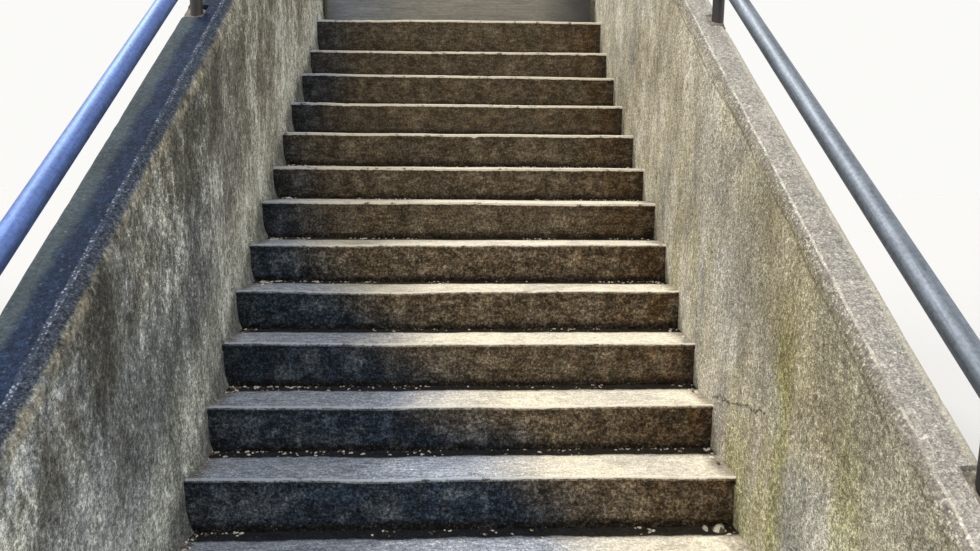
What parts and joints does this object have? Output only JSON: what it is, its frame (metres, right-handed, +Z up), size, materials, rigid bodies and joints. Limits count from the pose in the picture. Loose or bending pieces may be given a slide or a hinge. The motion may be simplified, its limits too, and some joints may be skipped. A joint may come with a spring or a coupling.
{
  "type": "outdoor concrete steps with raking parapets and tube handrails",
  "caption": "Straight flight of weathered concrete steps between solid raking parapets, with a round tube handrail along each parapet.",
  "frame": {"origin": "middle of the footprint, at ground level", "axes": "+Y is the level direction that a person walks up the flight, +X is on their right, +Z is up"},
  "size_m": [2.213, 5.298, 3.8451],
  "materials": {
    "step_concrete": "matte",
    "slab_concrete": "matte",
    "wall_render": "matte",
    "pocket_mortar": "matte",
    "weathered_board": "satin",
    "post_steel": "satin",
    "rail_steel": "satin"
  },
  "bodies": {
    "root": {"step_01": "step_concrete", "step_02": "step_concrete", "step_03": "step_concrete", "step_04": "step_concrete", "step_05": "step_concrete", "step_06": "step_concrete", "step_07": "step_concrete", "step_08": "step_concrete", "step_09": "step_concrete", "step_10": "step_concrete", "step_11": "step_concrete", "step_12": "step_concrete", "step_13": "step_concrete", "waist_slab": "slab_concrete", "landing_slab": "step_concrete", "landing_beam": "slab_concrete", "back_wall": "wall_render", "top_riser_board": "weathered_board", "wall_left_lower": "wall_render", "wall_left_upper": "wall_render", "wall_left_landing": "wall_render", "wall_right_lower": "wall_render", "wall_right_upper": "wall_render", "wall_right_landing": "wall_render", "pocket_mortar_left": "pocket_mortar", "pocket_mortar_right": "pocket_mortar", "post_left_1": "post_steel", "post_left_2": "post_steel", "post_left_3": "post_steel", "post_left_4": "post_steel", "post_right_1": "post_steel", "post_right_2": "post_steel", "post_right_3": "post_steel", "post_right_4": "post_steel", "rail_left_rake": "rail_steel", "rail_left_elbow": "rail_steel", "rail_left_level": "rail_steel", "rail_left_caps": "rail_steel", "rail_right_rake": "rail_steel", "rail_right_elbow": "rail_steel", "rail_right_level": "rail_steel", "rail_right_caps": "rail_steel"}
  },
  "joints": []
}
